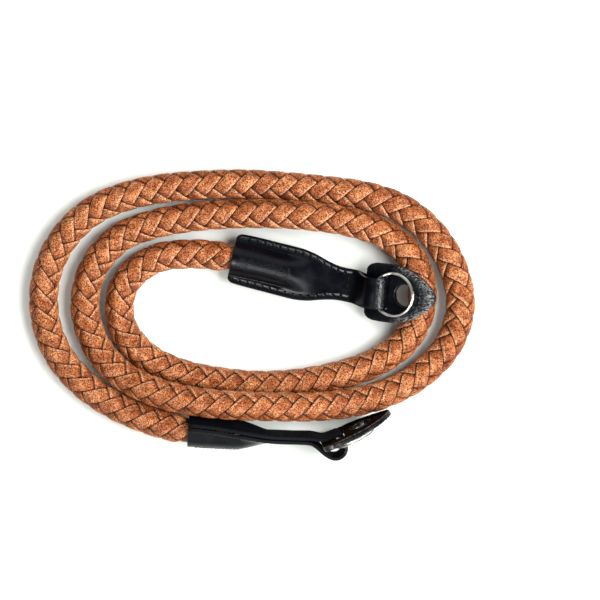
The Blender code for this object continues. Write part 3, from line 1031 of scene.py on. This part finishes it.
@dataclass
class StitchRows:
    """The thread that shows along an end's tab, on the outside of both leaves."""

    end: StrapEnd
    tab: Piece
    thread: Material
    length: float = 2.35
    thickness: float = 0.50
    plumpness: float = 1.25
    droop: float = 0.30
    sunk: float = 0.08
    reach: float = 14.0
    # The tack row's stitches slant by turns, and the last row crosses the neck.
    tack_slants: tuple[float, float] = (-0.65, 0.75)
    tack_share: float = 0.7
    cross_half: float = 3.9
    cross_count: int = 3
    cross_share: float = 0.9

    def build(self) -> None:
        """Make all the stitches of the tab as one piece."""
        self.tree = BVHTree.FromObject(self.tab, bpy.context.evaluated_depsgraph_get())
        one = self.one_stitch()
        shape = bmesh.new()
        for outward in (1.0, -1.0):
            for ends in self.stitch_ends():
                self.add_stitch(shape, one, ends, outward)
        mesh = bpy.data.meshes.new(f"tab_stitches_{self.end.name}")
        shape.to_mesh(mesh)
        shape.free()
        bpy.data.objects.remove(one)
        mesh.shade_smooth()
        dress(linked(mesh.name, mesh), Body.STRAP, Slot.TAB, [self.thread])

    def one_stitch(self) -> Piece:
        """Make one stitch, a plump length of thread that lies along x.

        Returns:
            The stitch.
        """
        half = 0.5 * MM
        bpy.ops.object.select_all(action="DESELECT")
        bpy.ops.mesh.primitive_uv_sphere_add(segments=8, ring_count=9, radius=half)
        stitch = bpy.context.object
        stitch.data.transform(Matrix.Rotation(math.pi / 2, 4, "Y"))
        for vertex in stitch.data.vertices:
            x, y, z = vertex.co
            share = x / half
            plump = math.sqrt(max(1.0 - share ** 2, 0.0))
            even = min(1.0, self.plumpness * plump) / plump if plump > 0.0 else 1.0
            vertex.co = (
                x * self.length, y * self.thickness * even,
                z * self.thickness * even - self.droop * MM * abs(share) ** 3,
            )
        return stitch

    def stitch_ends(self) -> list[list[Spot]]:
        """Work out where the stitches start and stop.

        Returns:
            The first and last spot of each stitch.
        """
        ends = []
        half = self.length / 2
        for side in (1.0, -1.0):
            for depth in np.arange(SEAM.starts, SEAM.stops, SEAM.pitch):
                ends.append([
                    (at, side * (self.end.half_width(at) - SEAM.from_edge))
                    for at in (depth - half, depth + half)
                ])
        tack = half * self.tack_share
        for number, depth in enumerate(np.arange(SEAM.tack_starts, SEAM.tack_stops, SEAM.pitch / 2)):
            slant = self.tack_slants[number % 2]
            ends.append([(depth - tack, slant), (depth + tack, -slant)])
        cross = half * self.cross_share
        for number in range(self.cross_count):
            middle = self.cross_half * (2 * (number + 0.5) / self.cross_count - 1)
            ends.append([(SEAM.stops, middle - cross), (SEAM.stops, middle + cross)])
        return ends

    def on_leaf(self, spot: Spot, outward: float) -> tuple[Vector, Vector] | None:
        """Find a spot on a leaf's outside.

        Args:
            spot: The spot.
            outward: 1 for the front leaf, -1 for the back leaf.

        Returns:
            Its place and normal, or nothing where the tab has no leaf.
        """
        depth, left = spot
        middle, across = self.end.spine(depth)
        out = self.end.front(depth) * outward
        start = middle + across * left * MM + out * self.reach * MM
        place, normal, _, _ = self.tree.ray_cast(start, -out, 2 * self.reach * MM)
        return None if place is None else (place, normal)

    def add_stitch(self, shape: bmesh.types.BMesh, one: Piece, ends: list[Spot], outward: float) -> None:
        """Add a copy of the stitch between two spots on a leaf.

        Args:
            shape: What the copy is added to.
            one: The stitch.
            ends: Where it starts and stops.
            outward: 1 for the front leaf, -1 for the back leaf.
        """
        start, stop = (self.on_leaf(spot, outward) for spot in ends)
        if start is None or stop is None:
            return
        along = (stop[0] - start[0]).normalized()
        out = (start[1] + stop[1]).normalized()
        across = out.cross(along).normalized()
        matrix = Matrix((along, across, along.cross(across))).transposed().to_4x4()
        first, last = ends
        middle = self.on_leaf(((first[0] + last[0]) / 2, (first[1] + last[1]) / 2), outward)
        matrix.translation = (middle or start)[0] - out * self.sunk * MM
        copy = one.data.copy()
        copy.transform(matrix)
        shape.from_mesh(copy)
        bpy.data.meshes.remove(copy)


@dataclass
class EndTab:
    """A leather tab: a strip folded back on itself and stitched over the cord, with a loop for its ring."""

    end: StrapEnd
    leather: Material
    inside: Material
    thread: Material
    edge_round: float = 0.30
    # How far from the ring's axis the loop's inside reaches, and how squarely it faces the axis.
    inside_reach: float = 5.0
    inside_faces: float = 0.4
    # How far from the axis the ridge's painted highlight reaches, which way it lies in the guard's frame, and
    # its strength.
    ridge_reach: float = 6.0
    ridge_ahead: float = 0.83
    ridge_out: float = 0.56
    ridge_starts: float = 0.88
    ridge_full: float = 0.98
    ridge_sheen: float = 0.25
    # How far before the mouth and past the tab its middle line is charted, and in what steps.
    charted_before: float = 1.0
    charted_past: float = 2.0
    charted_step: float = 0.25

    def build(self) -> None:
        """Make the tab and its stitches."""
        node = f"end_tab_{self.end.name}"
        tab = copy_of_node(node, f"leather_tab_{self.end.name}")
        rounded = self.edge_round * MM
        apply_modifier(tab, "BEVEL", width=rounded, segments=2, limit_method="ANGLE", angle_limit=SHARP)
        apply_modifier(tab, "SUBSURF", levels=2, render_levels=2)
        self.chart(tab)
        self.work_loop(tab)
        tab.data.shade_smooth()
        dress(tab, Body.STRAP, Slot.TAB, [self.leather, self.inside], node)
        StitchRows(self.end, tab, self.thread).build()

    def work_loop(self, tab: Piece) -> None:
        """Line the loop's inside, and let its points carry the painted highlight on the ridge over the ring.

        Args:
            tab: The tab.
        """
        name = f"ring_{self.end.name}_swing"
        joint = next(joint for joint in frame["joints"] if joint["name"] == name)
        origin, axis = Vector(joint["pos_m"]), Vector(joint["axis"])
        for face in tab.data.polygons:
            offset = face.center - origin
            offset -= axis * offset.dot(axis)
            near = offset.length < self.inside_reach * MM
            lined = near and face.normal.dot(offset.normalized()) < -self.inside_faces
            face.material_index = 1 if lined else 0
        # The ridge over the ring carries a painted highlight.
        guard = self.end.section("guard")
        ridge = guard.col[0].xyz * self.ridge_ahead + guard.col[2].xyz * self.ridge_out
        rubbed = []
        for vertex in tab.data.vertices:
            offset = vertex.co - origin
            offset -= axis * offset.dot(axis)
            sheen = self.ridge_sheen if offset.length < self.ridge_reach * MM else 0.0
            towards = offset.normalized().dot(ridge)
            rubbed.append(sheen * float(eased(towards, self.ridge_starts, self.ridge_full)))
        carry(tab, rubbed=rubbed)

    def chart(self, tab: Piece) -> None:
        """Let each point carry its place along, in from the edge and to the left, and if it faces back.

        Args:
            tab: The tab.
        """
        past = self.end.tab_length + self.charted_past
        depths = np.arange(-self.charted_before, past, self.charted_step)
        spine = [self.end.spine(depth) for depth in depths]
        middles = np.array([point for point, _ in spine])
        lefts = np.array([left for _, left in spine])
        aheads = unit(np.gradient(middles, axis=0))
        places = np.empty(3 * len(tab.data.vertices), dtype=np.float32)
        tab.data.vertices.foreach_get("co", places)
        places = places.reshape(-1, 3)
        nearest = np.argmin(np.linalg.norm(places[:, None, :] - middles[None, :, :], axis=2), axis=1)
        offsets = places - middles[nearest]
        along = depths[nearest] + np.sum(offsets * aheads[nearest], axis=1) / MM
        left = np.sum(offsets * lefts[nearest], axis=1) / MM
        normals = np.array([vertex.normal for vertex in tab.data.vertices])
        back = -np.sum(normals * np.cross(aheads, lefts)[nearest], axis=1)
        carry(tab, along=along, inset=self.end.half_width(along) - np.abs(left), left=left, back=back)


@dataclass
class Guard:
    """A leather guard, black grain in front and brown suede behind, with a crinkled tip and a painted
    highlight round its rim.
    """

    end: StrapEnd
    leather: Material
    suede: Material
    voxel: float = 0.28
    # How squarely a face has to look out of the back to be suede, and out of the front to crinkle.
    suede_faces: float = 0.45
    front_faces: float = 0.3
    # Where along the guard its painted highlight starts and is full.
    sheen_starts: float = 9.0
    sheen_full: float = 17.0
    crinkle_starts: float = 15.0
    crinkle_full: float = 21.0
    # The relief's heights, and how many of its waves a millimetre holds.
    crinkle: float = 0.20
    crinkle_waves: tuple[float, float] = (1.1, 2.3)
    fine_share: float = 0.6
    unevenness: float = 0.05
    uneven_waves: float = 0.35
    nap: float = 0.10
    nap_waves: float = 3.5
    # The oval of the rim's painted highlight: its middle, half its sizes, and the shares of them where it
    # starts and fades.
    rim_middle: float = 12.5
    rim_length: float = 15.1
    rim_width: float = 10.7
    rim_starts: float = 0.60
    rim_full: float = 0.90
    fade_starts: float = 0.94
    fade_ends: float = 0.98
    # Between these slopes the back turns into the cut edge, where the suede is paler: partly the raw edge's
    # own colour and partly a painted rim highlight.
    edge_slopes: tuple[float, float] = (-0.95, -0.65)

    def build(self) -> None:
        """Make the guard."""
        node = f"guard_{self.end.name}"
        guard = copy_of_node(node, f"leather_guard_{self.end.name}")
        apply_modifier(guard, "REMESH", mode="VOXEL", voxel_size=self.voxel * MM)
        apply_modifier(guard, "SMOOTH", factor=0.5, iterations=5)
        into = self.end.section("guard").inverted()
        turned = into.to_3x3()
        for face in guard.data.polygons:
            face.material_index = 1 if (turned @ face.normal).z < -self.suede_faces else 0
        self.crumple(guard, into)
        guard.data.shade_smooth()
        dress(guard, Body.STRAP, Slot.GUARD, [self.leather, self.suede], node)

    def crumple(self, guard: Piece, into: Matrix) -> None:
        """Crinkle the tip's grain, raise the suede's nap and let each point carry its painted highlight and
        its pale edge.

        Args:
            guard: The guard.
            into: What takes a place into the guard's own frame.
        """
        turned = into.to_3x3()
        coarse, fine = self.crinkle_waves
        moves, rubbed, edges = [], [], []
        for vertex in guard.data.vertices:
            place = (into @ vertex.co) / MM
            out = (turned @ vertex.normal).z
            tip = eased(place.x, self.crinkle_starts, self.crinkle_full)
            # How far along the painted highlight has grown towards the tip.
            worn = eased(place.x, self.sheen_starts, self.sheen_full)
            height = noise.noise(place * self.uneven_waves) * self.unevenness
            if out > self.front_faces:
                grain = noise.noise(place * coarse) + self.fine_share * noise.noise(place * fine)
                height += grain * self.crinkle * tip
            if out < -self.suede_faces:
                height += self.nap * noise.noise(place * self.nap_waves)
            moves.append(vertex.normal * height * MM)
            # The painted highlight lies round the rim, on faces that look out of the front.
            reach = math.hypot((place.x - self.rim_middle) / self.rim_length, place.y / self.rim_width)
            rim = eased(reach, self.rim_starts, self.rim_full)
            rim *= 1.0 - eased(reach, self.fade_starts, self.fade_ends)
            rubbed.append(float(worn * rim) * min(max(2.0 * out, 0.0), 1.0))
            edges.append(float(eased(out, *self.edge_slopes)))
        for vertex, move in zip(guard.data.vertices, moves):
            vertex.co += move
        carry(guard, rubbed=rubbed, edge=edges)


@dataclass
class SplitRing:
    """A split ring of two turns of flat wire."""

    end: StrapEnd
    steel: Material
    regained: float = -0.05

    def build(self) -> None:
        """Make the ring."""
        node = f"ring_{self.end.name}"
        ring = copy_of_node(node, f"split_ring_{self.end.name}")
        apply_modifier(ring, "SUBSURF", levels=2, render_levels=2)
        apply_modifier(ring, "DISPLACE", strength=self.regained * MM, mid_level=0.0)
        ring.data.shade_smooth()
        dress(ring, self.end.ring_body, Slot.STEEL, [self.steel], node)


def main() -> None:
    """Build the strap's looks, camera and cord first."""
    logging.basicConfig(level=logging.INFO, format="%(name)s: %(message)s")
    Studio().build()
    BraidedCord().build()
    tab_leather = BlackLeather("black_tab_grain", smooth=0.18, dull=0.31, sewn=True).build()
    guard_leather = BlackLeather("black_guard_grain", smooth=0.18, dull=0.32, specular=0.22).build()
    inside, thread, suede = FleshSide().build(), Thread().build(), Suede().build()
    steel = PolishedSteel().build()
    for end in (END_A, END_B):
        EndTab(end, tab_leather, inside, thread).build()
        Guard(end, guard_leather, suede).build()
        SplitRing(end, steel).build()


if __name__ == "__main__":
    main()
